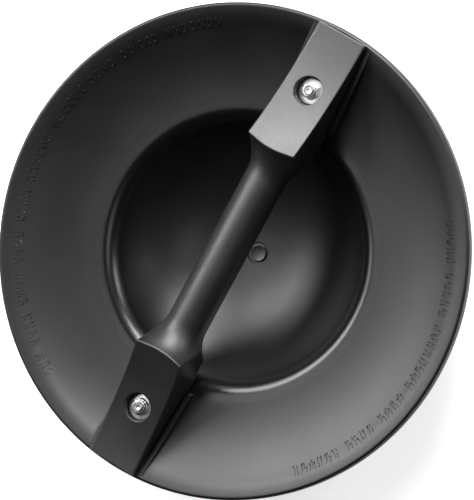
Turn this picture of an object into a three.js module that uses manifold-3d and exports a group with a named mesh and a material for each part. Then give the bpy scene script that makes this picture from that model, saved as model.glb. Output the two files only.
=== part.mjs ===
// A moulded training buckler: a round dished shell with a deep boss, and a hand grip bolted across its back.
// It lies on the small flat at the pole of its boss, with the grip on top. Millimetres, +Z up, grip along Y.

import * as THREE from "three";
import { mergeVertices } from "three/addons/utils/BufferGeometryUtils.js";
import Module from "manifold-3d";

const wasm = await Module();
wasm.setup();

// Shell: heights are measured from the rim plane, which is the highest circle of the shell's back
const DIAMETER = 355;
const WALL = 5;
const RIM_WIDTH = 6.5;
const RIM_HEIGHT = 9.5;
const RIM_EDGE_RADIUS = 2;
const RIM_FRONT_RADIUS = 2;
const RIM_HOLLOW_RADIUS = 28;
const RIM_BEND_RADIUS = 20;
const RIM_BEND_ANGLE = 27;
const FLANGE_ANGLE = 16;
const LIP_RADIUS_AT = 106;
const FLANGE_BELOW_RIM = 0.36;
const LIP_FILLET = 8;
const FRONT_FILLET = 12;

// Boss: half an ellipse turned round the axis, with a small flat at its pole
const BOSS_RADIUS = 102;
const BOSS_DEPTH = 68;
const BOSS_BULGE = 63;
const FLAT_RADIUS = 18;

// Round moulding mark at the bottom of the bowl
const MARK_RADIUS = 8;
const MARK_GROOVE = 1.4;
const MARK_GROOVE_DEPTH = 0.8;
const MARK_RAISE = 0.5;

// Grip bar: a round waist that flares like a trumpet into two rectangular end blocks
const BAR_LENGTH = 350;
const BLOCK_WIDTH = 38.6;
const BLOCK_OUTER_TOP = 5;
const BLOCK_INNER_TOP = 28;
const BLOCK_INNER_AT = 84;
const BLOCK_TOP_SAG = 5;
const GRIP_DIAMETER = 30;
const GRIP_AXIS_HEIGHT = 1.5;
const FLARE_LENGTH = 27;
const FLARE_RISE = 26;
const UNDERSIDE_SPARE = 0.5;
const SADDLE_GAP = 0.3;

// Ribs of the shell that hold each end block from both sides
const RIB_THICKNESS = 4;
const RIB_GAP = 0.9;
const RIB_INNER_AT = 105;
const RIB_INNER_TOP = -12.5;
const RIB_OUTER_TOP = -0.3;

// Fasteners: a domed bolt through each block, with a washer and a hexagon nut in a counterbore
const BOLT_FROM_END = 46.5;
const BOLT_DIAMETER = 6.35;
const BOLT_HOLE_CLEARANCE = 0.4;
const BOLT_TIP = 1.2;
const BOLT_TIP_CHAMFER = 0.7;
const HEAD_DIAMETER = 17;
const HEAD_HEIGHT = 4;
const SEAT_DIAMETER = 24;
const SEAT_PROUD = 0.3;
const WASHER_DIAMETER = 18.3;
const WASHER_THICKNESS = 1.6;
const NUT_WIDTH = 11.1;
const NUT_HEIGHT = 5.6;
const THREAD_CLEARANCE = 0.15;
const COUNTERBORE_DIAMETER = 20.6;
const COUNTERBORE_FLOOR = 2;

// Roundness of the turned surfaces
const SHELL_SEGMENTS = 72;
const GRIP_SEGMENTS = 36;
const SMALL_SEGMENTS = 18;
const BOSS_STEPS = 9;
const FLARE_STEPS = 7;
const TOP_STEPS = 8;
const RIB_CORNER_STEPS = 6;
const ARC_STEP = Math.PI / 8;
const MERGE_WITHIN = 1e-4;

// Materials, as they look in daylight
const PLASTIC = { color: 0x242426, roughness: 0.42, metalness: 0 };
const GRIP_PLASTIC = { color: 0x28282a, roughness: 0.38, metalness: 0 };
const ZINC = { color: 0xc9ccd0, roughness: 0.3, metalness: 1 };

// Values that follow from the sizes above
const rimRadius = DIAMETER / 2;
const rimInner = rimRadius - RIM_WIDTH;
const slope = THREE.MathUtils.degToRad(FLANGE_ANGLE);
const lipDepth = FLANGE_BELOW_RIM + (rimInner - LIP_RADIUS_AT) * Math.tan(slope);
const boltAt = BAR_LENGTH / 2 - BOLT_FROM_END;
const bossCentre = BOSS_BULGE - BOSS_DEPTH;
const clearanceHole = BOLT_DIAMETER / 2 + BOLT_HOLE_CLEARANCE;
const FAR = DIAMETER;

// Profile of the shell

const flangeBack = (r) => -lipDepth + (r - LIP_RADIUS_AT) * Math.tan(slope);
const flangeFront = (r) => flangeBack(r) - WALL / Math.cos(slope);

function ellipsePoint(angle, wall) {
  const r = (BOSS_RADIUS + wall) * Math.sin(angle);
  return new THREE.Vector2(r, bossCentre - (BOSS_BULGE + wall) * Math.cos(angle));
}

function ellipseNormal(angle, wall) {
  const across = Math.sin(angle) / (BOSS_RADIUS + wall);
  return new THREE.Vector2(across, -Math.cos(angle) / (BOSS_BULGE + wall)).normalize();
}

function ellipseAngleAt(radius, wall) {
  return Math.asin(radius / (BOSS_RADIUS + wall));
}

function arc(centre, radius, from, to) {
  const steps = Math.max(2, Math.ceil(Math.abs(to - from) / ARC_STEP));
  const points = [];
  for (let i = 0; i <= steps; i += 1) {
    const angle = from + ((to - from) * i) / steps;
    points.push(new THREE.Vector2(radius * Math.cos(angle), radius * Math.sin(angle)).add(centre));
  }
  return points;
}

// The round corner between the flange's line and the boss, found by halving the angle along the boss
function lipCorner(wall, radius) {
  const lineNormal = new THREE.Vector2(-Math.sin(slope), Math.cos(slope));
  const surface = wall > 0 ? flangeFront : flangeBack;
  const halvings = 50;
  let low = 0;
  let high = Math.PI / 2;
  for (let i = 0; i < halvings; i += 1) {
    const middle = (low + high) / 2;
    const centre = ellipseNormal(middle, wall).multiplyScalar(radius).add(ellipsePoint(middle, wall));
    const below = (surface(centre.x) - centre.y) * Math.cos(slope);
    if (below > radius) low = middle;
    else high = middle;
  }
  const normal = ellipseNormal(low, wall);
  const centre = normal.clone().multiplyScalar(radius).add(ellipsePoint(low, wall));
  const onBoss = Math.atan2(-normal.y, -normal.x);
  return { angle: low, points: arc(centre, radius, onBoss, lineNormal.angle()) };
}

function bossWall(wall, from, to) {
  const points = [];
  for (let i = 0; i <= BOSS_STEPS; i += 1) {
    points.push(ellipsePoint(from + ((to - from) * i) / BOSS_STEPS, wall));
  }
  return points;
}

// The soft bend that runs from the flange up to the flat top of the rim: a hollow, a short slope and a round
function rimBend() {
  const steep = THREE.MathUtils.degToRad(RIM_BEND_ANGLE);
  const round = new THREE.Vector2(rimInner, -RIM_BEND_RADIUS);
  const rounding = arc(round, RIM_BEND_RADIUS, Math.PI / 2 + steep, Math.PI / 2);
  const [bend] = rounding;
  const hollowAcross = RIM_HOLLOW_RADIUS * (Math.sin(steep) - Math.sin(slope));
  const hollowRise = RIM_HOLLOW_RADIUS * (Math.cos(slope) - Math.cos(steep));
  const above = bend.y - hollowRise - flangeBack(bend.x - hollowAcross);
  const run = above / (Math.tan(steep) - Math.tan(slope));
  const foot = new THREE.Vector2(bend.x - run, bend.y - run * Math.tan(steep));
  const centre = new THREE.Vector2(-Math.sin(steep), Math.cos(steep)).multiplyScalar(RIM_HOLLOW_RADIUS).add(foot);
  const hollow = arc(centre, RIM_HOLLOW_RADIUS, slope - Math.PI / 2, steep - Math.PI / 2);
  return [...hollow, ...rounding];
}

const outerFlatAngle = ellipseAngleAt(FLAT_RADIUS, WALL);
const poleHeight = ellipsePoint(outerFlatAngle, WALL).y;

function frontProfile() {
  const lip = lipCorner(WALL, FRONT_FILLET);
  const rimCorner = new THREE.Vector2(rimRadius - RIM_FRONT_RADIUS, -RIM_HEIGHT + RIM_FRONT_RADIUS);
  const backCorner = new THREE.Vector2(rimRadius - RIM_EDGE_RADIUS, -RIM_EDGE_RADIUS);
  return [
    new THREE.Vector2(0, poleHeight),
    ...bossWall(WALL, outerFlatAngle, lip.angle).slice(0, -1),
    ...lip.points,
    new THREE.Vector2(rimInner, flangeFront(rimInner)),
    new THREE.Vector2(rimInner, -RIM_HEIGHT),
    ...arc(rimCorner, RIM_FRONT_RADIUS, -Math.PI / 2, 0),
    ...arc(backCorner, RIM_EDGE_RADIUS, 0, Math.PI / 2),
  ];
}

// The back of the shell from the rim inwards, ending where the bowl's floor begins
function backProfile() {
  const lip = lipCorner(0, LIP_FILLET);
  const floorAngle = ellipseAngleAt(MARK_RADIUS, 0);
  return [
    ...rimBend().reverse(),
    ...lip.points.reverse(),
    ...bossWall(0, lip.angle, floorAngle).slice(1),
  ];
}

function markProfile() {
  const floor = -BOSS_DEPTH;
  const inner = MARK_RADIUS - MARK_GROOVE;
  return [
    new THREE.Vector2(MARK_RADIUS, floor - MARK_GROOVE_DEPTH),
    new THREE.Vector2(inner, floor - MARK_GROOVE_DEPTH),
    new THREE.Vector2(inner, floor + MARK_RAISE),
    new THREE.Vector2(0, floor + MARK_RAISE),
  ];
}

// From geometries to solids and back

function solid(geometry) {
  const bare = geometry.clone();
  bare.deleteAttribute("normal");
  bare.deleteAttribute("uv");
  const merged = mergeVertices(bare, MERGE_WITHIN);
  const corners = merged.index.array;
  const kept = [];
  for (let i = 0; i < corners.length; i += 3) {
    const [a, b, c] = [corners[i], corners[i + 1], corners[i + 2]];
    if (a !== b && b !== c && c !== a) kept.push(a, b, c);
  }
  return new wasm.Manifold(new wasm.Mesh({
    numProp: 3,
    vertProperties: new Float32Array(merged.attributes.position.array),
    triVerts: new Uint32Array(kept),
  }));
}

function turnedAboutZ(points, segments) {
  return solid(new THREE.LatheGeometry(points, segments).rotateX(Math.PI / 2));
}

function turnedAboutY(points, segments) {
  return solid(new THREE.LatheGeometry(points, segments));
}

function rod(radius, from, to, y) {
  const geometry = new THREE.CylinderGeometry(radius, radius, to - from, SMALL_SEGMENTS);
  return solid(geometry.rotateX(Math.PI / 2).translate(0, y, (from + to) / 2));
}

// A shape drawn with Y across and Z up, made solid along X
function sidePrism(points, from, to) {
  const depth = to - from;
  const geometry = new THREE.ExtrudeGeometry(new THREE.Shape(points), { depth, bevelEnabled: false });
  const axes = new THREE.Matrix4().makeBasis(
    new THREE.Vector3(0, 1, 0), new THREE.Vector3(0, 0, 1), new THREE.Vector3(1, 0, 0));
  return solid(geometry.applyMatrix4(axes).translate(from, 0, 0));
}

function mirroredAlongBar(piece) {
  return piece.mirror([0, 1, 0]);
}

function mesh(name, piece, finish) {
  const { numProp, vertProperties, triVerts } = piece.getMesh();
  const geometry = new THREE.BufferGeometry();
  geometry.setAttribute("position", new THREE.BufferAttribute(new Float32Array(vertProperties), numProp));
  geometry.setIndex(new THREE.BufferAttribute(new Uint32Array(triVerts), 1));
  geometry.computeVertexNormals();
  const body = new THREE.Mesh(geometry, new THREE.MeshStandardMaterial(finish));
  body.name = name;
  body.position.z = -poleHeight;
  return body;
}

// Everything below the shell's back, or below a surface at some height over it
function belowBack(height) {
  const lip = lipCorner(0, LIP_FILLET);
  const surface = [
    new THREE.Vector2(lip.points[0].x, -FAR),
    ...lip.points,
    ...rimBend(),
    new THREE.Vector2(FAR, 0),
    new THREE.Vector2(FAR, -FAR),
  ];
  return turnedAboutZ([...surface, surface[0]].reverse(), SHELL_SEGMENTS).translate([0, 0, height]);
}

// Shell: the turned dish, four ribs beside the end blocks, and two bolt seats on the front

function rib(side) {
  const inner = BLOCK_WIDTH / 2 + RIB_GAP;
  const outer = inner + RIB_THICKNESS;
  const end = rimRadius - RIM_WIDTH / 2 - RIB_THICKNESS / 2;
  const half = RIB_THICKNESS / 2;
  const plan = new THREE.Shape();
  plan.moveTo(inner, end);
  plan.lineTo(inner, RIB_INNER_AT + half);
  plan.absarc(inner + half, RIB_INNER_AT + half, half, Math.PI, 2 * Math.PI, false);
  plan.lineTo(outer, end);
  const options = { depth: FAR, bevelEnabled: false, curveSegments: RIB_CORNER_STEPS };
  const column = solid(new THREE.ExtrudeGeometry(plan, options).translate(0, 0, -FAR / 2));
  const root = WALL / 2;
  const outline = [
    new THREE.Vector2(RIB_INNER_AT, flangeBack(RIB_INNER_AT) - root),
    new THREE.Vector2(end, flangeBack(end) - root),
    new THREE.Vector2(end, RIB_OUTER_TOP),
    new THREE.Vector2(RIB_INNER_AT, RIB_INNER_TOP),
  ];
  const upright = column.intersect(sidePrism(outline, inner - 1, outer + 1));
  return side > 0 ? upright : upright.mirror([1, 0, 0]);
}

const seatHeight = flangeFront(boltAt - SEAT_DIAMETER / 2) - SEAT_PROUD;

function boltSeat() {
  return rod(SEAT_DIAMETER / 2, seatHeight, 0, boltAt).intersect(belowBack(-WALL / 2));
}

function shell() {
  const profile = [...frontProfile(), ...backProfile(), ...markProfile()];
  let piece = turnedAboutZ(profile, SHELL_SEGMENTS);
  for (const side of [-1, 1]) {
    const upper = rib(side);
    piece = piece.add(upper).add(mirroredAlongBar(upper));
  }
  const seat = boltSeat();
  const hole = rod(clearanceHole, -FAR, FAR, boltAt);
  piece = piece.add(seat).add(mirroredAlongBar(seat));
  return piece.subtract(hole).subtract(mirroredAlongBar(hole));
}

// Grip bar: a long prism with hollowed tops, narrowed to a trumpet-ended waist. Its end blocks sit on the
// flange and hook over the rim.

function arcThrough(from, to, sag) {
  const chord = to.clone().sub(from);
  const middle = from.clone().add(to).multiplyScalar(0.5);
  const across = new THREE.Vector2(chord.y, -chord.x).normalize();
  const points = [];
  for (let i = 0; i <= TOP_STEPS; i += 1) {
    const t = (2 * i) / TOP_STEPS - 1;
    const point = middle.clone().add(chord.clone().multiplyScalar(t / 2));
    points.push(point.add(across.clone().multiplyScalar(sag * (1 - t * t))));
  }
  return points;
}

function barOutline() {
  const end = BAR_LENGTH / 2;
  const gripUnder = GRIP_AXIS_HEIGHT - GRIP_DIAMETER / 2 - UNDERSIDE_SPARE;
  const top = arcThrough(
    new THREE.Vector2(BLOCK_INNER_AT, BLOCK_INNER_TOP), new THREE.Vector2(end, BLOCK_OUTER_TOP), BLOCK_TOP_SAG);
  const [first, second] = top;
  const rise = (first.y - second.y) / (second.x - first.x);
  const reach = FLARE_RISE / 2;
  const peak = new THREE.Vector2(BLOCK_INNER_AT - reach, BLOCK_INNER_TOP + rise * reach);
  const half = [
    new THREE.Vector2(BLOCK_INNER_AT, gripUnder),
    new THREE.Vector2(LIP_RADIUS_AT, -lipDepth),
    new THREE.Vector2(LIP_RADIUS_AT, -lipDepth - WALL),
    new THREE.Vector2(end, flangeBack(end) - WALL),
    ...top.reverse(),
    peak,
  ];
  const mirrored = half.map((p) => new THREE.Vector2(-p.x, p.y)).reverse();
  return [...half, ...mirrored];
}

function spindle() {
  const start = BLOCK_INNER_AT - FLARE_LENGTH * Math.sqrt(1 - (1 - flareShare()) ** 2);
  const radius = GRIP_DIAMETER / 2;
  const half = [];
  for (let i = 0; i <= FLARE_STEPS; i += 1) {
    const angle = (Math.PI / 2) * (i / FLARE_STEPS);
    half.push(new THREE.Vector2(
      radius + FLARE_RISE * (1 - Math.cos(angle)), start + FLARE_LENGTH * Math.sin(angle)));
  }
  const widest = radius + FLARE_RISE;
  half.push(new THREE.Vector2(widest, BAR_LENGTH), new THREE.Vector2(0, BAR_LENGTH));
  const mirrored = half.map((p) => new THREE.Vector2(p.x, -p.y)).reverse();
  return turnedAboutY([...mirrored, ...half], GRIP_SEGMENTS).translate([0, 0, GRIP_AXIS_HEIGHT]);
}

// How far up the flare the top corner of an end block lies, from 0 at the waist to 1 at its widest
function flareShare() {
  const corner = Math.hypot(BLOCK_WIDTH / 2, BLOCK_INNER_TOP - GRIP_AXIS_HEIGHT);
  return Math.min((corner - GRIP_DIAMETER / 2) / FLARE_RISE, 1);
}

function gripBar() {
  const half = BLOCK_WIDTH / 2;
  let piece = sidePrism(barOutline(), -half, half).intersect(spindle()).subtract(belowBack(SADDLE_GAP));
  const recess = rod(COUNTERBORE_DIAMETER / 2, COUNTERBORE_FLOOR, FAR, boltAt);
  const hole = rod(clearanceHole, -FAR, FAR, boltAt);
  for (const cut of [recess, hole]) piece = piece.subtract(cut).subtract(mirroredAlongBar(cut));
  return piece;
}

// Fasteners

const washerTop = COUNTERBORE_FLOOR + WASHER_THICKNESS;
const nutTop = washerTop + NUT_HEIGHT;

function bolt() {
  const radius = BOLT_DIAMETER / 2;
  const tip = nutTop + BOLT_TIP;
  const head = HEAD_DIAMETER / 2;
  const sphere = (head ** 2 + HEAD_HEIGHT ** 2) / (2 * HEAD_HEIGHT);
  const centre = new THREE.Vector2(0, seatHeight - HEAD_HEIGHT + sphere);
  const dome = arc(centre, sphere, -Math.PI / 2, -Math.acos(head / sphere));
  dome[0].x = 0;
  return turnedAboutZ([
    ...dome,
    new THREE.Vector2(radius, seatHeight),
    new THREE.Vector2(radius, tip - BOLT_TIP_CHAMFER),
    new THREE.Vector2(radius - BOLT_TIP_CHAMFER, tip),
    new THREE.Vector2(0, tip),
  ], SMALL_SEGMENTS).translate([0, boltAt, 0]);
}

function washer() {
  const disc = rod(WASHER_DIAMETER / 2, COUNTERBORE_FLOOR, washerTop, boltAt);
  return disc.subtract(rod(clearanceHole, -FAR, FAR, boltAt));
}

function nut() {
  const corner = NUT_WIDTH / Math.sqrt(3);
  const chamfer = corner - NUT_WIDTH / 2;
  const prism = new THREE.CylinderGeometry(corner, corner, NUT_HEIGHT, 6);
  const hexagon = solid(prism.rotateX(Math.PI / 2).translate(0, boltAt, (washerTop + nutTop) / 2));
  const turned = turnedAboutZ([
    new THREE.Vector2(0, washerTop),
    new THREE.Vector2(corner, washerTop),
    new THREE.Vector2(corner, nutTop - chamfer),
    new THREE.Vector2(corner - chamfer * 2, nutTop),
    new THREE.Vector2(0, nutTop),
  ], SMALL_SEGMENTS).translate([0, boltAt, 0]);
  return hexagon.intersect(turned).subtract(rod(BOLT_DIAMETER / 2 + THREAD_CLEARANCE, -FAR, FAR, boltAt));
}

const buckler = new THREE.Group();
buckler.add(mesh("shell", shell(), PLASTIC));
buckler.add(mesh("grip_bar", gripBar(), GRIP_PLASTIC));
for (const [part, piece] of [["bolt", bolt()], ["washer", washer()], ["nut", nut()]]) {
  buckler.add(mesh(`${part}_a`, piece, ZINC));
  buckler.add(mesh(`${part}_b`, mirroredAlongBar(piece), ZINC));
}

export default buckler;
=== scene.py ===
# Buckler shield, visual model: a moulded black shell with a deep boss and a grip bar bolted across its back.
# Sizes below are in millimetres and angles in radians, unless a comment says otherwise. Heights are measured
# from the rim plane, and RIM_Z puts that plane in the shared frame, where the shield lies on the pole of its
# boss. Names with SHARE are parts of another size.
import math
import random

import bmesh
import bpy
import numpy as np
from mathutils import Euler, Matrix, Vector


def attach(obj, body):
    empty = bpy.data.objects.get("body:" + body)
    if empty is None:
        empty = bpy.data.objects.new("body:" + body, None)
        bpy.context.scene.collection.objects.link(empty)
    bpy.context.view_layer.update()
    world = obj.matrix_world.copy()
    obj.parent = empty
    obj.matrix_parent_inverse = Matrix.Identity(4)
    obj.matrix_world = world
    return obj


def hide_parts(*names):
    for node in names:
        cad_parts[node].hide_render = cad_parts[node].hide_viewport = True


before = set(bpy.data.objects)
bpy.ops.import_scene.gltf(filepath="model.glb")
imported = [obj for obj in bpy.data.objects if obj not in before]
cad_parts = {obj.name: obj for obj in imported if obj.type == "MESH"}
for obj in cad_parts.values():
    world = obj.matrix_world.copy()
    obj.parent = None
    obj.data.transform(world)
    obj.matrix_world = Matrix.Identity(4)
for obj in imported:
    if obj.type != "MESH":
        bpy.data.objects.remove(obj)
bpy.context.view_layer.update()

MM = 0.001

# Shell. The hollow of its flange is given as (radius, slope in degrees).
DIAMETER = 355.0
WALL = 5.0
RIM_RADIUS = DIAMETER / 2
RIM_WIDTH = 6.5
RIM_INNER = RIM_RADIUS - RIM_WIDTH
RIM_HEIGHT = 9.5
RIM_DROP = 0.36
RIM_EDGE = 2.0
RIM_FRONT_EDGE = 2.0
RIM_HEEL = 0.8
RIM_ROOT = 1.5
RIM_ROOT_DROP = 0.4
SLOPE = math.radians(16)
DISH_SLOPES = (
    (108.0, 7.2), (135.0, 14.2), (158.0, 21.2), (164.0, 24.2), (168.0, 20.2), (172.0, 15.2), (176.0, 13.2)
)
EDGE_SLOPE = math.radians(DISH_SLOPES[-1][1])
LIP_AT = 106.0
LIP_DEPTH = RIM_DROP + (RIM_INNER - LIP_AT) * math.tan(SLOPE)
LIP_FILLET = 15.0
FRONT_FILLET = 12.0
BOSS_RADIUS = 102.0
BOWL_RADIUS = 98.0
BOSS_DEPTH = 68.0
BOSS_BULGE = 63.0
BOSS_CENTRE = BOSS_BULGE - BOSS_DEPTH
FLAT_RADIUS = 18.0
MARK_RADIUS = 8.0
MARK_GROOVE = 1.9
MARK_GROOVE_DEPTH = 1.2
MARK_RAISE = 0.5
MARK_DISH = 0.7
MARK_EDGE = 0.4
MARK_CHAMFER = 0.3
MARK_SHARES = (0.2, 0.4, 0.6, 0.8)
RIM_Z = (BOSS_BULGE + WALL) * math.sqrt(1 - (FLAT_RADIUS / (BOSS_RADIUS + WALL)) ** 2) - BOSS_CENTRE

# Grip bar
BAR_LENGTH = 350.0
BLOCK_WIDTH = 38.6
BLOCK_OUTER_TOP = 5.0
BLOCK_INNER_TOP = 28.0
BLOCK_INNER_AT = 84.0
BLOCK_TOP_SAG = 5.0
BLOCK_TOP_SHARE = 1.2
GRIP_RADIUS = 15.0
GRIP_AXIS = 1.5
FLARE_LENGTH = 27.0
FLARE_RISE = 26.0
UNDERSIDE_SPARE = 0.5
UNDERSIDE_END = 0.5
UNDERSIDE_END_DROP = 6.0
SADDLE_FROM = 90.0
SADDLE_GAP = 0.3
BAR_EDGE = 0.9
END_RISE = 1.5

# Ribs beside the end blocks
RIB_THICKNESS = 4.0
RIB_GAP = 0.9
RIB_INNER_AT = 105.0
RIB_INNER_TOP = -12.5
RIB_OUTER_TOP = -0.3
RIB_EDGE = 0.45

# Fasteners
BOLT_AT = 128.5
BOLT_RADIUS = 3.175
HOLE_RADIUS = 3.575
DRILL_LOW = -60.0
DRILL_HIGH = 20.0
HEAD_RADIUS = 8.5
HEAD_HEIGHT = 4.0
HEAD_RIM = 0.25
HEAD_EDGE = 0.1
SEAT_RADIUS = 12.0
SEAT_LANDING = 2.0
SEAT_EDGE = 0.8
SEAT_PROUD = 0.3
WASHER_RADIUS = 9.15
WASHER_THICKNESS = 1.6
WASHER_EDGE = 0.3
WASHER_CHAMFER = 0.2
NUT_WIDTH = 11.1
NUT_HEIGHT = 5.6
NUT_TURN = 0.35
NUT_CHAMFER = 0.7
NUT_FOOT = 0.4
NUT_GAP = 0.12
COLLAR_SHARE = 0.9
COLLAR_HEIGHT = 1.7
COLLAR_ROUND = 0.8
COLLAR_DROP = 0.75
COLLAR_FOOT = 0.15
NUT_CHAMFER_DROPS = (0.75, 0.45, 0.2)
NUT_MOUTH = ((0.1, 0.9), (0.5, 0.5))
NUT_MOUTH_DEPTH = 0.6
NUT_BORE_RISE = 0.2
COUNTERBORE_RADIUS = 10.3
COUNTERBORE_FLOOR = 2.0
COUNTERBORE_FILLET = 0.4
COUNTERBORE_EDGE = 0.6
COUNTERBORE_CLEAR = 6.0
CUTTER_TOP = 30.0
WASHER_TOP = COUNTERBORE_FLOOR + WASHER_THICKNESS
NUT_TOP = WASHER_TOP + NUT_HEIGHT
BOLT_PROUD = 1.2
THREAD_PITCH = 1.27
THREAD_CREST = 0.6
THREAD_DEPTH = 0.45
THREAD_DOWN = 4.0
SHANK_DOWN = 5.0
TIP_PLAIN = 1.5
TIP_CHAMFER = 0.7
TIP_DIMPLE = 0.15
TIP_DIMPLE_RADII = (0.9, 0.6)

# Raised strokes along the flange. A group has bars of (place across, low end, high end), with the ends as
# shares of half the height. An arc goes from one angle to another, in degrees. A run has a number of groups
# between its two limits, and a wider gap follows it.
STROKE_RADIUS = 163.5
STROKE_TALL = 7.0
STROKE_WIDTH = 0.75
STROKE_RAISE = 0.4
STROKE_FOOT = 0.22
STROKE_SINK = 0.2
STROKE_PINCH = 0.25
STROKE_LEAN = 1.1
STROKE_PITCH = 6.4
STROKE_BREAK = 11.5
STROKE_SEED = 7
STROKE_FIRST_RUN = (4, 8)
STROKE_RUN = (4, 9)
STROKE_ARCS = ((-42.4, 39.6), (122.6, 242.6))
STROKE_GROUPS = (
    ((-1.6, -1.0, 1.0), (0.2, -1.0, 0.2), (1.8, -0.1, 1.0)),
    ((-1.4, -1.0, -0.2), (-1.4, 0.25, 1.0), (1.0, -1.0, 1.0)),
    ((-1.8, -0.5, 1.0), (0.0, -1.0, 0.5), (1.8, -0.5, 1.0)),
    ((-1.2, -1.0, 1.0), (1.2, -1.0, -0.3), (1.2, 0.2, 1.0)),
)

# Steps that round forms are made of, and limits for the meshes. Edges that turn by more than SHARP_ANGLE
# degrees stay sharp.
TURNS = 320
SEAT_TURNS = 64
HOLE_TURNS = 48
BOLT_TURNS = 56
WASHER_TURNS = 80
FINE_TURNS = 96
BOWL_STEPS = 54
LIP_STEPS = 14
DISH_STEPS = 60
FRONT_LIP_STEPS = 12
BOSS_STEPS = 40
RIB_STEPS = 24
RIB_END_STEPS = 12
RIB_EDGE_STEPS = 5
STROKE_STEPS = 5
RIM_STEPS = 8
RIM_FRONT_STEPS = 6
RIM_HEEL_STEPS = 3
FLANGE_STEPS = 8
SMALL_STEPS = 4
COLLAR_STEPS = 6
MOUTH_STEPS = 5
TOP_STEPS = 60
DOME_STEPS = 16
HALVINGS = 60
MERGE_WITHIN = 1e-4
SHARP_ANGLE = 38.0
OUT_OF_REACH = 60.0
PAST_RIM = 20.0


# Profiles, as lists of (radius, height)


def flange_back(r):
    return -LIP_DEPTH + (r - LIP_AT) * math.tan(SLOPE)


def flange_front(r):
    return flange_back(r) - WALL / math.cos(SLOPE)


def ellipse_width(wall):
    """Half the width of the boss: of its front where wall is the wall, of its bowl where wall is 0."""
    return BOSS_RADIUS + wall if wall else BOWL_RADIUS


def ellipse_point(angle, wall):
    return (ellipse_width(wall) * math.sin(angle), BOSS_CENTRE - (BOSS_BULGE + wall) * math.cos(angle))


def ellipse_angle(radius, wall):
    return math.asin(radius / ellipse_width(wall))


def arc(centre, radius, first, last, steps):
    angles = [first + (last - first) * i / steps for i in range(steps + 1)]
    return [(centre[0] + radius * math.cos(a), centre[1] + radius * math.sin(a)) for a in angles]


def line(first, last, steps):
    """The points between two ends, without the ends."""
    return [
        tuple(a + (b - a) * i / steps for a, b in zip(first, last))
        for i in range(1, steps)
    ]


def lip_corner(wall, radius, steps):
    """The round corner between the boss and the flange, from the boss outwards."""
    slope = SLOPE if wall > 0 else math.radians(DISH_SLOPES[0][1])
    fall = WALL / math.cos(SLOPE) if wall > 0 else 0.0
    low, high = 0.0, math.pi / 2
    for _ in range(HALVINGS):
        angle = (low + high) / 2
        point = Vector(ellipse_point(angle, wall))
        normal = Vector(
            (math.sin(angle) / ellipse_width(wall), -math.cos(angle) / (BOSS_BULGE + wall))
        ).normalized()
        centre = point + normal * radius
        surface = -LIP_DEPTH + (centre.x - LIP_AT) * math.tan(slope) - fall
        if (surface - centre.y) * math.cos(slope) > radius:
            low = angle
        else:
            high = angle
    on_boss = math.atan2(-normal.y, -normal.x)
    return low, arc(centre, radius, on_boss, math.pi / 2 + slope, steps)


def dish(first):
    """The hollow back of the flange and the rim, from the lip out to the rim's round edge."""
    outer = RIM_RADIUS - RIM_EDGE * (1 + math.sin(EDGE_SLOPE))
    radii = [first[0] + (outer - first[0]) * i / DISH_STEPS for i in range(DISH_STEPS + 1)]
    points, height = [first], first[1]
    for low, high in zip(radii, radii[1:]):
        angle = np.interp((low + high) / 2, *zip(*DISH_SLOPES))
        height += (high - low) * math.tan(math.radians(angle))
        points.append((high, float(height)))
    return points


def back_profile():
    """The back of the shell, from the floor of the bowl out to the edge of the rim."""
    lip_angle, lip = lip_corner(0.0, LIP_FILLET, LIP_STEPS)
    first = ellipse_angle(MARK_RADIUS + MARK_CHAMFER, 0.0)
    bowl = [ellipse_point(first + (lip_angle - first) * i / BOWL_STEPS, 0.0) for i in range(BOWL_STEPS)]
    return bowl + lip[:-1] + dish(lip[-1])


BACK = back_profile()
BACK_R = np.array([p[0] for p in BACK] + [RIM_RADIUS + PAST_RIM])
BACK_Z = np.array([p[1] for p in BACK] + [0.0])


def back_height(r):
    return np.interp(r, BACK_R, BACK_Z)


def mark_profile():
    """The round mark in the floor of the bowl, from its dished middle out through its groove."""
    inner = MARK_RADIUS - MARK_GROOVE
    top = MARK_RAISE - BOSS_DEPTH
    low = -BOSS_DEPTH - MARK_GROOVE_DEPTH
    edge = MARK_EDGE
    return [
        (0.0, top - MARK_DISH),
        *((inner * s, top - MARK_DISH * (1 - s * s)) for s in MARK_SHARES),
        *arc((inner - edge, top - edge), edge, math.pi / 2, 0.0, SMALL_STEPS),
        *arc((inner + edge, low + edge), edge, math.pi, math.pi * 1.5, SMALL_STEPS),
        *arc((MARK_RADIUS - edge, low + edge), edge, -math.pi / 2, 0.0, SMALL_STEPS),
    ]


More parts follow.
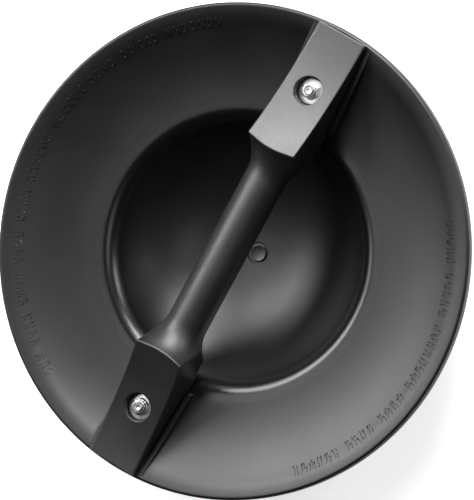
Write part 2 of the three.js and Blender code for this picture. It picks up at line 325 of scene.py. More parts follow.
def front_profile():
    """The front of the shell, from the rim's outer edge in to the pole."""
    flat_angle = ellipse_angle(FLAT_RADIUS, WALL)
    lip_angle, lip = lip_corner(WALL, FRONT_FILLET, FRONT_LIP_STEPS)
    pole = ellipse_point(flat_angle, WALL)[1]
    top_corner = (RIM_RADIUS - RIM_EDGE, BACK[-1][1] - RIM_EDGE * math.cos(EDGE_SLOPE))
    low_corner = (RIM_RADIUS - RIM_FRONT_EDGE, RIM_FRONT_EDGE - RIM_HEIGHT)
    heel = (RIM_INNER + RIM_HEEL, RIM_HEEL - RIM_HEIGHT)
    root = (RIM_INNER - RIM_ROOT, flange_front(RIM_INNER) - RIM_ROOT - RIM_ROOT_DROP)
    flange_end = RIM_INNER - 2 * RIM_ROOT
    turn_angle = flat_angle - lip_angle
    return [
        *arc(top_corner, RIM_EDGE, math.pi / 2 + EDGE_SLOPE, 0.0, RIM_STEPS),
        *arc(low_corner, RIM_FRONT_EDGE, 0.0, -math.pi / 2, RIM_FRONT_STEPS),
        *arc(heel, RIM_HEEL, -math.pi / 2, -math.pi, RIM_HEEL_STEPS),
        *arc(root, RIM_ROOT, 0.0, math.pi / 2 + SLOPE, SMALL_STEPS),
        *line((flange_end, flange_front(flange_end)), lip[-1], FLANGE_STEPS),
        *reversed(lip),
        *(ellipse_point(lip_angle + turn_angle * i / BOSS_STEPS, WALL) for i in range(1, BOSS_STEPS + 1)),
        (FLAT_RADIUS / 2, pole),
        (0.0, pole),
    ]


# Meshes


def finish_mesh(name, bm, sharp=SHARP_ANGLE):
    """Turns a bmesh in millimetres from the rim plane into an object in the shared frame."""
    bmesh.ops.remove_doubles(bm, verts=bm.verts, dist=MERGE_WITHIN)
    bmesh.ops.recalc_face_normals(bm, faces=bm.faces)
    bm.transform(Matrix.Translation((0, 0, RIM_Z * MM)) @ Matrix.Scale(MM, 4))
    mesh = bpy.data.meshes.new(name)
    bm.to_mesh(mesh)
    bm.free()
    piece = bpy.data.objects.new(name, mesh)
    bpy.context.collection.objects.link(piece)
    shade(piece, sharp)
    return piece


def shade(piece, sharp=SHARP_ANGLE):
    """Smooth shading, with the edges that turn by more than sharp degrees kept sharp."""
    bm = bmesh.new()
    bm.from_mesh(piece.data)
    for face in bm.faces:
        face.smooth = True
    for edge in bm.edges:
        edge.smooth = len(edge.link_faces) == 2 and edge.calc_face_angle(0.0) < math.radians(sharp)
    bm.to_mesh(piece.data)
    bm.free()


def turn(bm, profile, turns, centre=(0.0, 0.0)):
    """Turns a profile round an upright axis; points at radius 0 become one vertex."""
    rings = []
    for r, z in profile:
        if r < MERGE_WITHIN:
            rings.append([bm.verts.new((centre[0], centre[1], z))])
            continue
        angles = (2 * math.pi * i / turns for i in range(turns))
        rings.append(
            [bm.verts.new((centre[0] + r * math.cos(a), centre[1] + r * math.sin(a), z)) for a in angles]
        )
    join_rings(bm, rings)


def join_rings(bm, rings):
    """Faces between each ring of vertices and the next; a ring of one vertex is a tip."""
    for below, above in zip(rings, rings[1:]):
        count = max(len(below), len(above))
        for i in range(count):
            j = (i + 1) % count
            if len(below) == 1:
                bm.faces.new((below[0], above[j], above[i]))
            elif len(above) == 1:
                bm.faces.new((below[i], below[j], above[0]))
            else:
                bm.faces.new((below[i], below[j], above[j], above[i]))


def cut(piece, cutters):
    """Takes the cutters out of a piece and removes them."""
    for cutter in cutters:
        step = piece.modifiers.new("cut", "BOOLEAN")
        step.operation = "DIFFERENCE"
        step.solver = "EXACT"
        step.object = cutter
    done = bpy.data.meshes.new_from_object(
        piece.evaluated_get(bpy.context.evaluated_depsgraph_get())
    )
    piece.modifiers.clear()
    piece.data = done
    for cutter in cutters:
        bpy.data.objects.remove(cutter)
    shade(piece)


def drill(end):
    """A cutter for one bolt hole."""
    bm = bmesh.new()
    profile = [(0, DRILL_LOW), (HOLE_RADIUS, DRILL_LOW), (HOLE_RADIUS, DRILL_HIGH), (0, DRILL_HIGH)]
    turn(bm, profile, HOLE_TURNS, (0.0, BOLT_AT * end))
    return finish_mesh("drill", bm)


# Shell


def add_rib(bm, side, end):
    """One rib: a plan outline with a round inner end, raised to a sloping top with rounded edges."""
    half = RIB_THICKNESS / 2
    middle = BLOCK_WIDTH / 2 + RIB_GAP + half
    inner = RIB_INNER_AT + half
    outer = RIM_RADIUS - RIM_WIDTH / 2 - half

    def outline(inset):
        width = half - inset
        step = (outer - inner) / RIB_STEPS
        points = [(middle - width, outer - t * step) for t in range(RIB_STEPS)]
        points += [
            (middle - width * math.cos(a), inner - width * math.sin(a))
            for a in (math.pi * i / RIB_END_STEPS for i in range(RIB_END_STEPS + 1))
        ]
        points += [(middle + width, inner + t * step) for t in range(1, RIB_STEPS + 1)]
        return points

    def top(y):
        share = (y - RIB_INNER_AT) / (outer - RIB_INNER_AT)
        return RIB_INNER_TOP + (RIB_OUTER_TOP - RIB_INNER_TOP) * share

    rings = [[(x, y, float(back_height(math.hypot(x, y))) - WALL / 2) for x, y in outline(0.0)]]
    for i in range(RIB_EDGE_STEPS + 1):
        angle = math.pi / 2 * i / RIB_EDGE_STEPS
        inset, drop = RIB_EDGE * (1 - math.cos(angle)), RIB_EDGE * (1 - math.sin(angle))
        rings.append([(x, y, top(y) - drop) for x, y in outline(inset)])
    made = [[bm.verts.new((x * side, y * end, z)) for x, y, z in ring] for ring in rings]
    join_rings(bm, made)
    top_ring = made[-1]
    count = len(top_ring)
    for i in range(count // 2):
        a, b, c, d = top_ring[i], top_ring[i + 1], top_ring[count - 2 - i], top_ring[count - 1 - i]
        bm.faces.new((a, b, c, d) if b is not c else (a, b, d))
    bm.faces.new(list(reversed(made[0])))


SEAT_HEIGHT = flange_front(BOLT_AT - SEAT_RADIUS) - SEAT_PROUD


def add_seat(bm, end):
    """A round boss on the front of the flange for the bolt's head to sit on."""
    angles = [2 * math.pi * i / SEAT_TURNS for i in range(SEAT_TURNS)]
    corner = (SEAT_RADIUS - SEAT_EDGE, SEAT_HEIGHT + SEAT_EDGE)
    low = arc(corner, SEAT_EDGE, -math.pi / 2, 0.0, SMALL_STEPS)
    rings = [[bm.verts.new((0, BOLT_AT * end, SEAT_HEIGHT))]]
    for r, z in [(HOLE_RADIUS + SEAT_LANDING, SEAT_HEIGHT), *low]:
        rings.append([bm.verts.new((r * math.cos(a), BOLT_AT * end + r * math.sin(a), z)) for a in angles])
    for r, ring_angles in ((SEAT_RADIUS, angles), (0.0, angles[:1])):
        places = [(r * math.cos(a), BOLT_AT * end + r * math.sin(a)) for a in ring_angles]
        rings.append([bm.verts.new((x, y, flange_back(math.hypot(x, y)) - WALL / 2)) for x, y in places])
    join_rings(bm, rings)


def make_shell():
    """The turned shell, its four ribs and its two bolt seats."""
    bm = bmesh.new()
    turn(bm, mark_profile() + BACK + front_profile(), TURNS)
    shell = finish_mesh("shell_fine", bm)
    cut(shell, [drill(-1), drill(1)])

    bm = bmesh.new()
    for end in (-1, 1):
        for side in (-1, 1):
            add_rib(bm, side, end)
    ribs = finish_mesh("shell_ribs", bm)

    bm = bmesh.new()
    for end in (-1, 1):
        add_seat(bm, end)
    seats = finish_mesh("shell_seats", bm)
    cut(seats, [drill(-1), drill(1)])
    return shell, ribs, seats


# Rows of shallow raised strokes along the flange


def add_stroke(bm, angle, across, first, last, lean):
    """One bar on the flange. first and last are radial offsets, lean is how far its ends are apart."""
    half = STROKE_WIDTH / 2
    rows = []
    for i in range(STROKE_STEPS + 1):
        share = i / STROKE_STEPS
        r = STROKE_RADIUS + first + (last - first) * share
        place = across + lean * (share - 0.5)
        top = STROKE_RAISE - (STROKE_PINCH if i in (0, STROKE_STEPS) else 0.0)
        row = []
        for offset, lift in (
            (-half - STROKE_FOOT, -STROKE_SINK),
            (-half, top),
            (half, top),
            (half + STROKE_FOOT, -STROKE_SINK),
        ):
            a = angle + (place + offset) / STROKE_RADIUS
            row.append(bm.verts.new((r * math.cos(a), r * math.sin(a), float(back_height(r)) + lift)))
        rows.append(row)
    for below, above in zip(rows, rows[1:]):
        for i in range(3):
            bm.faces.new((below[i], below[i + 1], above[i + 1], above[i]))
        bm.faces.new((below[3], below[0], above[0], above[3]))
    bm.faces.new(rows[0])
    bm.faces.new(list(reversed(rows[-1])))


def make_strokes():
    """Groups of strokes in arcs along the flange, in runs with wider gaps between them."""
    pick = random.Random(STROKE_SEED)
    bm = bmesh.new()
    tall = STROKE_TALL / 2
    for first, last in STROKE_ARCS:
        angle = math.radians(first)
        left = pick.randint(*STROKE_FIRST_RUN)
        while angle < math.radians(last):
            lean = pick.choice((-STROKE_LEAN, 0.0, 0.0, STROKE_LEAN))
            group = STROKE_GROUPS[pick.randint(0, len(STROKE_GROUPS) - 1)]
            for across, low, high in group:
                add_stroke(bm, angle, across, low * tall, high * tall, lean * (high - low) / 2)
            left -= 1
            pitch = STROKE_PITCH
            if left == 0:
                left = pick.randint(*STROKE_RUN)
                pitch = STROKE_BREAK
            angle += pitch / STROKE_RADIUS
    return finish_mesh("flange_strokes", bm, sharp=60.0)


# Grip bar


def top_curve():
    """The hollowed top of an end block, as heights over Y. It runs on past both ends of the block."""
    first, last = Vector((BLOCK_INNER_AT, BLOCK_INNER_TOP)), Vector((BAR_LENGTH / 2, BLOCK_OUTER_TOP))
    chord = last - first
    across = Vector((-chord.y, chord.x)).normalized()
    ts = [i / TOP_STEPS * 2 * BLOCK_TOP_SHARE - BLOCK_TOP_SHARE for i in range(TOP_STEPS + 1)]
    points = [(first + last) / 2 + chord * (t / 2) - across * BLOCK_TOP_SAG * (1 - t * t) for t in ts]
    return np.array([p.x for p in points]), np.array([p.y for p in points])


TOP_Y, TOP_Z = top_curve()


def top_height(y):
    return np.interp(np.abs(y), TOP_Y, TOP_Z, left=OUT_OF_REACH)


def flare_start():
    """Where the flare leaves the waist, so that it meets the block's corner at the block's inner end."""
    corner = math.hypot(BLOCK_WIDTH / 2, BLOCK_INNER_TOP - GRIP_AXIS)
    share = min((corner - GRIP_RADIUS) / FLARE_RISE, 1.0)
    return BLOCK_INNER_AT - FLARE_LENGTH * math.sqrt(1 - (1 - share) ** 2)


FLARE_AT = flare_start()


def bar_field(x, y, z):
    """Signed distance to the bar's surface, with every edge rounded by BAR_EDGE."""
    along = np.abs(y)
    radius = np.hypot(x, z - GRIP_AXIS)
    into = np.maximum(along - FLARE_AT, 0.0) / FLARE_LENGTH
    reach = (radius - GRIP_RADIUS - FLARE_RISE) / FLARE_RISE
    waist = (1.0 - np.hypot(into, reach)) * FLARE_RISE
    waist = np.where(along > FLARE_AT + FLARE_LENGTH, -OUT_OF_REACH, waist)
    under = np.interp(
        along,
        [0.0, BLOCK_INNER_AT, LIP_AT, LIP_AT + UNDERSIDE_END],
        [GRIP_AXIS - GRIP_RADIUS - UNDERSIDE_SPARE] * 2 + [-LIP_DEPTH, -LIP_DEPTH - UNDERSIDE_END_DROP],
    )
    saddle = np.where(along > SADDLE_FROM, back_height(np.hypot(x, y)) + SADDLE_GAP, -OUT_OF_REACH)
    sides = [
        np.abs(x) - BLOCK_WIDTH / 2,
        z - top_height(y),
        np.maximum(under, saddle) - z,
        along - BAR_LENGTH / 2,
        waist,
    ]
    over = np.sqrt(sum(np.maximum(s + BAR_EDGE, 0.0) ** 2 for s in sides))
    return np.minimum(-BAR_EDGE, np.maximum.reduce(sides)) + over


# Distances between the bar's stations along the grip, the flare, the block and its outer end, and how far
# these zones reach past the flare and back from the bar's end
GRIP_STEP = 3.0
FLARE_STEP = 0.45
FLARE_PAST = 3.0
BLOCK_STEP = 1.6
END_STEP = 0.6
END_ZONE = 9.0
END_SPARE = 1.2
END_EDGE_STATIONS = 7


def bar_stations():
    """The places along the bar where its outline is found, close together where it bends."""
    flare_end = BLOCK_INNER_AT + FLARE_PAST
    end = BAR_LENGTH / 2
    half = [
        *np.arange(0, FLARE_AT, GRIP_STEP),
        *np.arange(FLARE_AT, flare_end, FLARE_STEP),
        *np.arange(flare_end, end - END_ZONE, BLOCK_STEP),
        *np.arange(end - END_ZONE, end - END_SPARE, END_STEP),
        *(end - BAR_EDGE * (1 - np.sin(np.linspace(0, np.pi / 2, END_EDGE_STATIONS)))),
    ]
    half = sorted(set(np.round(half, 4)))
    return np.array([-y for y in reversed(half[1:])] + half)


# Rays from the grip's axis find the outline. Four of them aim at the edges between the bar's sides: the upper
# two at the top's height within limits, the lower two at a depth that follows the underside along the bar.
AIM_LEAST = 2.0
AIM_MOST = 34.0
AIM_AT = (0, BLOCK_INNER_AT, LIP_AT, 120, 158, RIM_INNER, 176)
AIM_DEPTH = (15.5, 15.5, 20.5, 16.2, 5.6, 1.5, 1.2)
# Where the other rays stand between two edges, closest together beside them
HALF_SHARES = [0, 0.006, 0.012, 0.019, 0.028, 0.045, 0.07, 0.1, 0.14, 0.18, 0.23, 0.28, 0.33, 0.39, 0.45]
SHARES = np.array(HALF_SHARES + [1 - s for s in reversed(HALF_SHARES[1:])])


def make_bar():
    """Walks round the bar at each station, finding the surface outwards from the grip's axis."""
    ys = bar_stations()
    height = np.maximum(np.minimum(top_height(ys), AIM_MOST) - GRIP_AXIS, AIM_LEAST)
    upper = np.arctan2(height, BLOCK_WIDTH / 2)
    lower = np.arctan2(np.interp(np.abs(ys), AIM_AT, AIM_DEPTH), BLOCK_WIDTH / 2)
    corners = [-lower, upper, np.pi - upper, np.pi + lower, 2 * np.pi - lower]
    angles = np.concatenate(
        [a[:, None] + (b - a)[:, None] * SHARES[None, :] for a, b in zip(corners, corners[1:])], axis=1
    )
    y = np.repeat(ys[:, None], angles.shape[1], axis=1)
    low, high = np.zeros_like(angles), np.full_like(angles, OUT_OF_REACH)
    for _ in range(HALVINGS):
        mid = (low + high) / 2
        inside = bar_field(mid * np.cos(angles), y, GRIP_AXIS + mid * np.sin(angles)) < 0
        low, high = np.where(inside, mid, low), np.where(inside, high, mid)
    x, z = low * np.cos(angles), GRIP_AXIS + low * np.sin(angles)
    bm = bmesh.new()
    rings = [
        [bm.verts.new((x[i, j], y[i, j], z[i, j])) for j in range(angles.shape[1])]
        for i in range(len(ys))
    ]
    join_rings(bm, rings)
    for ring, outwards in ((rings[0], -1), (rings[-1], 1)):
        middle = bm.verts.new((0.0, outwards * BAR_LENGTH / 2, GRIP_AXIS + END_RISE))
        for i in range(len(ring)):
            bm.faces.new((ring[i], ring[(i + 1) % len(ring)], middle))
    bar = finish_mesh("grip_fine", bm, sharp=50.0)
    cut(bar, [counterbore(-1), counterbore(1), drill(-1), drill(1)])
    return bar


def counterbore(end):
    """A cutter whose mouth follows the block's top, so that the edge it leaves is round."""
    fillet, edge = COUNTERBORE_FILLET, COUNTERBORE_EDGE
    floor = [
        (COUNTERBORE_RADIUS - fillet, 0.0),
        (COUNTERBORE_RADIUS - fillet / 4, fillet / 4),
        (COUNTERBORE_RADIUS, fillet),
    ]
    mouth = [
        (COUNTERBORE_RADIUS + edge * (1 - math.cos(a)), -edge * (1 - math.sin(a)))
        for a in (math.pi / 2 * i / MOUTH_STEPS for i in range(MOUTH_STEPS + 1))
    ]
    mouth.append((COUNTERBORE_RADIUS + edge, COUNTERBORE_CLEAR))
    bm = bmesh.new()
    rings = [[bm.verts.new((0, BOLT_AT * end, COUNTERBORE_FLOOR))]]
    for count, (r, lift) in enumerate(floor + mouth):
        ring = []
        for i in range(FINE_TURNS):
            a = 2 * math.pi * i / FINE_TURNS
            y = BOLT_AT * end + r * math.sin(a)
            base = COUNTERBORE_FLOOR if count < len(floor) else float(top_height(y))
            ring.append(bm.verts.new((r * math.cos(a), y, base + lift)))
        rings.append(ring)
    rings.append([bm.verts.new((0, BOLT_AT * end, CUTTER_TOP))])
    join_rings(bm, rings)
    return finish_mesh("counterbore", bm)


# Fasteners


def make_bolt(name, end):
    """A bolt with a domed head under its seat and a few turns of thread at its tip."""
    sphere = (HEAD_RADIUS**2 + HEAD_HEIGHT**2) / (2 * HEAD_HEIGHT)
    centre = SEAT_HEIGHT - HEAD_HEIGHT + sphere
    edge = math.asin((HEAD_RADIUS - HEAD_RIM) / sphere)
    angles = [edge * i / DOME_STEPS for i in range(DOME_STEPS + 1)]
    dome = [(sphere * math.sin(a), centre - sphere * math.cos(a)) for a in angles]
    tip = NUT_TOP + BOLT_PROUD
    thread = []
    height = NUT_TOP - THREAD_DOWN
    while height < tip - TIP_PLAIN:
        thread += [(BOLT_RADIUS, height), (BOLT_RADIUS - THREAD_DEPTH, height + THREAD_CREST)]
        height += THREAD_PITCH
    outer_dimple, inner_dimple = TIP_DIMPLE_RADII
    profile = [
        *dome,
        (HEAD_RADIUS, SEAT_HEIGHT - HEAD_RIM),
        (HEAD_RADIUS - HEAD_EDGE, SEAT_HEIGHT),
        (BOLT_RADIUS, SEAT_HEIGHT),
        (BOLT_RADIUS, NUT_TOP - SHANK_DOWN),
        *thread,
        (BOLT_RADIUS, tip - TIP_CHAMFER),
        (BOLT_RADIUS - TIP_CHAMFER, tip),
        (outer_dimple, tip),
        (inner_dimple, tip - TIP_DIMPLE),
        (0.0, tip - TIP_DIMPLE),
    ]
    bm = bmesh.new()
    turn(bm, profile, BOLT_TURNS, (0.0, BOLT_AT * end))
    return finish_mesh(name, bm, sharp=30.0)


def make_washer(name, end):
    """A flat ring on the floor of the counterbore, with round outer edges."""
    edge = WASHER_EDGE
    low, top = COUNTERBORE_FLOOR, WASHER_TOP
    outer = WASHER_RADIUS - edge
    profile = [
        (HOLE_RADIUS, low),
        *arc((outer, low + edge), edge, -math.pi / 2, 0.0, SMALL_STEPS - 1),
        *arc((outer, top - edge), edge, 0.0, math.pi / 2, SMALL_STEPS),
        (HOLE_RADIUS + WASHER_CHAMFER, top),
        (HOLE_RADIUS, top - WASHER_CHAMFER),
        (HOLE_RADIUS, low),
    ]
    bm = bmesh.new()
    turn(bm, profile, WASHER_TURNS, (0.0, BOLT_AT * end))
    return finish_mesh(name, bm, sharp=40.0)


def make_nut(name, end):
    """A lock nut: a hexagon with chamfered corners and a round collar on top."""
    apothem = NUT_WIDTH / 2
    corner = apothem / math.cos(math.pi / 6)
    collar = apothem * COLLAR_SHARE
    hex_top = NUT_TOP - COLLAR_HEIGHT
    chamfer = NUT_CHAMFER
    crown = arc((collar - COLLAR_ROUND, NUT_TOP - COLLAR_DROP), COLLAR_ROUND, 0.0, math.pi / 2, COLLAR_STEPS)
    first_drop, middle_drop, last_drop = NUT_CHAMFER_DROPS
    levels = [
        (WASHER_TOP, corner - chamfer),
        (WASHER_TOP + NUT_FOOT, corner),
        (hex_top - first_drop, corner),
        (hex_top - middle_drop, corner - chamfer / 2),
        (hex_top - last_drop, corner - chamfer),
        (hex_top, collar + COLLAR_FOOT),
        *((z, r) for r, z in crown),
        *((NUT_TOP - drop, BOLT_RADIUS + gap) for drop, gap in NUT_MOUTH),
        (NUT_TOP - NUT_MOUTH_DEPTH, BOLT_RADIUS + NUT_GAP),
        (WASHER_TOP + NUT_BORE_RISE, BOLT_RADIUS + NUT_GAP),
        (WASHER_TOP, BOLT_RADIUS + NUT_FOOT),
        (WASHER_TOP, corner - chamfer),
    ]
    bm = bmesh.new()
    rings = []
    for z, limit in levels:
        ring = []
        for i in range(FINE_TURNS):
            a = 2 * math.pi * i / FINE_TURNS
            facet = (a + math.pi / 6) % (math.pi / 3) - math.pi / 6
            r = min(apothem / math.cos(facet), limit)
            x, y = r * math.cos(a + NUT_TURN), BOLT_AT * end + r * math.sin(a + NUT_TURN)
            ring.append(bm.verts.new((x, y, z)))
        rings.append(ring)
    join_rings(bm, rings)
    return finish_mesh(name, bm, sharp=22.0)


# Materials


def node(tree, kind, **settings):
    """A new shader node with some of its settings changed."""
    made = tree.nodes.new(kind)
    for key, value in settings.items():
        setattr(made, key, value)
    return made


def ranged(tree, source, low, high, from_low=0.3, from_high=0.7):
    """Maps a value to low..high. The usual input range is that of a noise texture."""
    made = node(tree, "ShaderNodeMapRange")
    made.inputs["From Min"].default_value = from_low
    made.inputs["From Max"].default_value = from_high
    made.inputs["To Min"].default_value = low
    made.inputs["To Max"].default_value = high
    tree.links.new(source, made.inputs["Value"])
    return made.outputs["Result"]


def noise(tree, coords, scale, detail, stretch=None):
    """A noise texture with a scale per metre, stretched along turned axes where stretch is given."""
    where = coords
    if stretch:
        mapping = node(tree, "ShaderNodeMapping")
        mapping.inputs["Scale"].default_value = stretch
        mapping.inputs["Rotation"].default_value = (0.2, 0.3, 0.9)
        tree.links.new(coords, mapping.inputs["Vector"])
        where = mapping.outputs["Vector"]
    made = node(tree, "ShaderNodeTexNoise")
    made.inputs["Scale"].default_value = scale
    made.inputs["Detail"].default_value = detail
    made.inputs["Roughness"].default_value = 0.55
    tree.links.new(where, made.inputs["Vector"])
    return made.outputs["Fac"]


def two_colours(tree, factor, dark, light):
    mix = node(tree, "ShaderNodeMix", data_type="RGBA")
    mix.inputs["A"].default_value = (*dark, 1)
    mix.inputs["B"].default_value = (*light, 1)
    tree.links.new(factor, mix.inputs["Factor"])
    return mix.outputs["Result"]


def added(tree, first, second):
    made = node(tree, "ShaderNodeMath", operation="ADD")
    tree.links.new(first, made.inputs[0])
    tree.links.new(second, made.inputs[1])
    return made.outputs["Value"]


def bumped(tree, height, strength, distance, below=None):
    made = node(tree, "ShaderNodeBump")
    made.inputs["Strength"].default_value = strength
    made.inputs["Distance"].default_value = distance
    tree.links.new(height, made.inputs["Height"])
    if below is not None:
        tree.links.new(below, made.inputs["Normal"])
    return made.outputs["Normal"]


def material(name):
    made = bpy.data.materials.new(name)
    made.use_nodes = True
    tree = made.node_tree
    tree.nodes.clear()
    shader = tree.nodes.new("ShaderNodeBsdfPrincipled")
    out = tree.nodes.new("ShaderNodeOutputMaterial")
    tree.links.new(shader.outputs["BSDF"], out.inputs["Surface"])
    coords = tree.nodes.new("ShaderNodeTexCoord").outputs["Object"]
    return made, tree, shader, coords


def plastic(name, dark, light, ior, rough, cloudy, grain, polish=0.0):
    """Satin moulded plastic: cloudy flow marks, a fine grain, a few faint scuffs and a polished lip."""
    made, tree, shader, coords = material(name)
    cloud = noise(tree, coords, scale=14.0, detail=4.0)
    tree.links.new(two_colours(tree, ranged(tree, cloud, 0.0, 1.0), dark, light), shader.inputs["Base Color"])
    lines = noise(tree, coords, scale=60.0, detail=3.0, stretch=(1.0, 14.0, 1.0))
    scuffs = ranged(tree, lines, 0.0, 0.05, 0.62, 0.72)
    patches = noise(tree, coords, scale=28.0, detail=5.0)
    total = added(tree, ranged(tree, patches, rough - cloudy, rough + cloudy), scuffs)
    if polish:
        total = added(tree, total, lip_polish(tree, coords, polish))
    tree.links.new(total, shader.inputs["Roughness"])
    shader.inputs["IOR"].default_value = ior
    waves = bumped(tree, noise(tree, coords, scale=18.0, detail=2.0), strength=0.05, distance=0.002)
    fine = noise(tree, coords, scale=1100.0, detail=2.0)
    normal = bumped(tree, fine, strength=grain, distance=0.0002, below=waves)
    tree.links.new(normal, shader.inputs["Normal"])
    return made


# The polished ring of the lip: its radius, and how far to each side it is whole and where it ends
POLISH_AT = 101.5
POLISH_WHOLE = 4.0
POLISH_END = 12.0


def lip_polish(tree, coords, polish):
    """Less roughness on the ring where the bowl turns over into the flange."""
    flat = node(tree, "ShaderNodeVectorMath", operation="MULTIPLY")
    flat.inputs[1].default_value = (1.0, 1.0, 0.0)
    tree.links.new(coords, flat.inputs[0])
    reach = node(tree, "ShaderNodeVectorMath", operation="LENGTH")
    tree.links.new(flat.outputs["Vector"], reach.inputs[0])
    away = node(tree, "ShaderNodeMath", operation="SUBTRACT")
    away.inputs[1].default_value = POLISH_AT * MM
    tree.links.new(reach.outputs["Value"], away.inputs[0])
    off = node(tree, "ShaderNodeMath", operation="ABSOLUTE")
    tree.links.new(away.outputs["Value"], off.inputs[0])
    return ranged(tree, off.outputs["Value"], -polish, 0.0, POLISH_WHOLE * MM, POLISH_END * MM)


def zinc():
    """Bright zinc plating, with a slightly uneven gloss, a cloudy tint and a faint bump."""
    made, tree, shader, coords = material("zinc_plated_steel")
    cloud = noise(tree, coords, scale=350.0, detail=4.0)
    colour = two_colours(tree, ranged(tree, cloud, 0.0, 1.0), (0.62, 0.62, 0.61), (0.8, 0.81, 0.82))
    tree.links.new(colour, shader.inputs["Base Color"])
    gloss = noise(tree, coords, scale=300.0, detail=3.0)
    tree.links.new(ranged(tree, gloss, 0.26, 0.34), shader.inputs["Roughness"])
    shader.inputs["Metallic"].default_value = 1.0
    bump = bumped(tree, noise(tree, coords, scale=500.0, detail=2.0), strength=0.02, distance=0.0001)
    tree.links.new(bump, shader.inputs["Normal"])
    return made


SHELL_PLASTIC = plastic(
    "shell_black",
    dark=(0.0018, 0.0018, 0.0019),
    light=(0.0028, 0.0028, 0.0029),
    ior=1.58,
    rough=0.37,
    cloudy=0.02,
    grain=0.20,
    polish=0.15,
)
GRIP_PLASTIC = plastic(
    "grip_black",
    dark=(0.0032, 0.0032, 0.0033),
    light=(0.0048, 0.0048, 0.0049),
    ior=1.80,
    rough=0.46,
    cloudy=0.045,
    grain=0.50,
)
ZINC = zinc()

# Pieces, each with its material, its slot and the nodes it stands for

shell, ribs, seats = make_shell()
pieces = [
    (shell, SHELL_PLASTIC, "shell_plastic", ("shell",)),
    (ribs, SHELL_PLASTIC, "shell_plastic", ()),
    (seats, SHELL_PLASTIC, "shell_plastic", ()),
    (make_strokes(), SHELL_PLASTIC, "shell_plastic", ()),
    (make_bar(), GRIP_PLASTIC, "grip_plastic", ("grip_bar",)),
]
for letter, end in (("a", 1), ("b", -1)):
    pieces.append((make_bolt("bolt_fine_" + letter, end), ZINC, "zinc_steel", ("bolt_" + letter,)))
    pieces.append((make_washer("washer_fine_" + letter, end), ZINC, "zinc_steel", ("washer_" + letter,)))
    pieces.append((make_nut("nut_fine_" + letter, end), ZINC, "zinc_steel", ("nut_" + letter,)))
for piece, look, slot, nodes in pieces:
    piece.data.materials.clear()
    piece.data.materials.append(look)
    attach(piece, "root")
    if nodes:
        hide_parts(*nodes)
node_looks = {"shell": SHELL_PLASTIC, "grip_bar": GRIP_PLASTIC}
for name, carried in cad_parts.items():
    carried.data.materials.clear()
    carried.data.materials.append(node_looks.get(name, ZINC))

# Studio, in metres. The camera looks onto the back of the shield from its +X side, and the floor glows a
# little like a light table.

CAMERA_AT = (0.6466, 0.3000, 2.0836)
CAMERA_TURN = Euler([math.radians(a) for a in (1.6747, 19.2582, 29.8780)], "XYZ")
CAMERA_LENS = 216.0
SENSOR_WIDTH = 36.0
VIEW = CAMERA_TURN.to_matrix()
LIT_CENTRE = Vector((0.0, 0.0, 0.055))
LIGHT_COLOUR = (1.0, 0.985, 0.975)
LIGHT_DISTANCE = 1.8
LIGHT_WIDTH = 0.55
SKY_COLOUR = (0.97, 0.985, 1.0, 1.0)
SKY_STRENGTH = 0.02
FLOOR_GLOW = 0.7
FLOOR_HALF = 6.0
# One bank of softboxes as (azimuth, elevation, watts). Azimuth turns from the right of the picture through
# its top, and elevation rises from the picture's plane to the viewer.
LIGHTS = (
    (30, 50, 6.5), (85, 30, 21.0), (85, 50, 14.0), (110, 35, 4.5), (110, 50, 8.5), (125, 35, 2.0),
    (140, 22, 3.5), (140, 35, 8.0), (155, 22, 8.5), (155, 35, 1.0), (170, 22, 3.5), (170, 50, 2.5),
    (0, 90, 1.5),
)


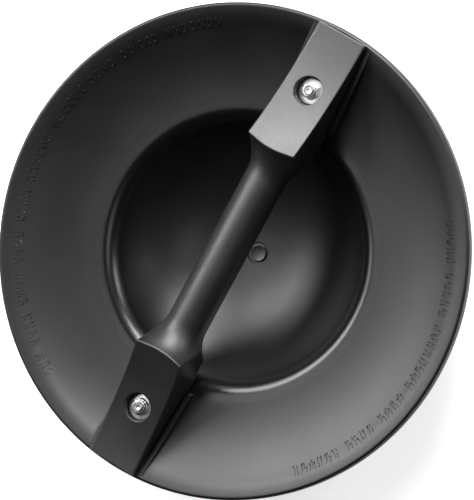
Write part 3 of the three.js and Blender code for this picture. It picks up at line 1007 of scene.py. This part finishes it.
def make_floor():
    """A pale floor under the pole of the boss. Only the camera sees its glow."""
    made, tree, shader, coords = material("floor_pale")
    cloud = noise(tree, coords, scale=3.0, detail=3.0)
    colour = two_colours(tree, ranged(tree, cloud, 0.0, 1.0), (0.86, 0.86, 0.86), (0.88, 0.88, 0.88))
    tree.links.new(colour, shader.inputs["Base Color"])
    shader.inputs["Roughness"].default_value = 0.7
    shader.inputs["Emission Color"].default_value = (1.0, 1.0, 1.0, 1.0)
    seen = tree.nodes.new("ShaderNodeLightPath").outputs["Is Camera Ray"]
    tree.links.new(ranged(tree, seen, 0.0, FLOOR_GLOW, 0.0, 1.0), shader.inputs["Emission Strength"])
    bm = bmesh.new()
    bmesh.ops.create_grid(bm, x_segments=2, y_segments=2, size=FLOOR_HALF)
    mesh = bpy.data.meshes.new("floor")
    bm.to_mesh(mesh)
    bm.free()
    mesh.materials.append(made)
    floor = bpy.data.objects.new("floor", mesh)
    bpy.context.collection.objects.link(floor)


def make_light(name, azimuth, elevation, watts):
    """A square softbox, placed by the picture's directions and turned to the middle of the shield."""
    a, e = math.radians(azimuth), math.radians(elevation)
    towards = Vector((math.cos(e) * math.cos(a), math.cos(e) * math.sin(a), math.sin(e)))
    away = (VIEW @ towards).normalized()
    lamp = bpy.data.lights.new(name, "AREA")
    lamp.shape = "RECTANGLE"
    lamp.size = LIGHT_WIDTH
    lamp.size_y = LIGHT_WIDTH
    lamp.energy = watts
    lamp.color = LIGHT_COLOUR
    made = bpy.data.objects.new(name, lamp)
    bpy.context.collection.objects.link(made)
    made.location = LIT_CENTRE + away * LIGHT_DISTANCE
    made.rotation_mode = "QUATERNION"
    made.rotation_quaternion = away.to_track_quat("Z", "Y")


def make_sky():
    """A very dim, even background."""
    world = bpy.data.worlds.new("studio")
    bpy.context.scene.world = world
    world.use_nodes = True
    background = world.node_tree.nodes["Background"]
    background.inputs["Color"].default_value = SKY_COLOUR
    background.inputs["Strength"].default_value = SKY_STRENGTH


def make_camera():
    lens = bpy.data.cameras.new("camera")
    lens.sensor_width = SENSOR_WIDTH
    lens.lens = CAMERA_LENS
    lens.dof.use_dof = False
    camera = bpy.data.objects.new("camera", lens)
    camera.location = CAMERA_AT
    camera.rotation_euler = CAMERA_TURN
    bpy.context.collection.objects.link(camera)
    bpy.context.scene.camera = camera


make_floor()
for number, (azimuth, elevation, watts) in enumerate(LIGHTS):
    make_light("softbox_%d" % number, azimuth, elevation, watts)
make_sky()
make_camera()
bpy.context.scene.view_settings.view_transform = "Standard"
